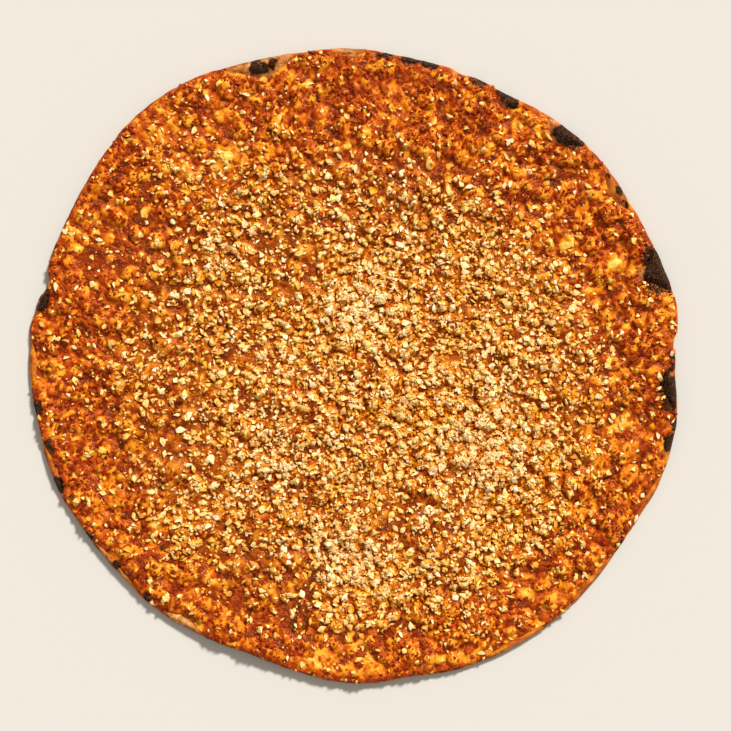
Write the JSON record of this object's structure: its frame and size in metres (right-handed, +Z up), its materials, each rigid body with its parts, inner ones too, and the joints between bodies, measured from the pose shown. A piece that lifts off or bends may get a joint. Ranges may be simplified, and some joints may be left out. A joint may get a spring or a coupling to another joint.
{
  "type": "lahmacun",
  "caption": "Thin round flatbread with a baked-on spread of spiced minced meat, strewn with chopped nuts and herbs, with charred spots along its uneven rim.",
  "frame": {"origin": "under the middle of the outline's box, at the height of the flat underside that it rests on", "axes": "+Z up through the bread, +Y to the side with the folded and charred flap, +X to the side with the largest charred patches"},
  "size_m": [0.3004, 0.2942, 0.008],
  "materials": {
    "dough": "baked wheat dough, tan with brown and black charred spots, dry and matt",
    "meat_and_nuts": "oily red-brown minced meat and pepper, orange where the dough blisters, strewn with pale golden nut chips"
  },
  "bodies": {
    "root": {"flatbread": "dough", "meat_spread": "meat_and_nuts"}
  },
  "joints": []
}
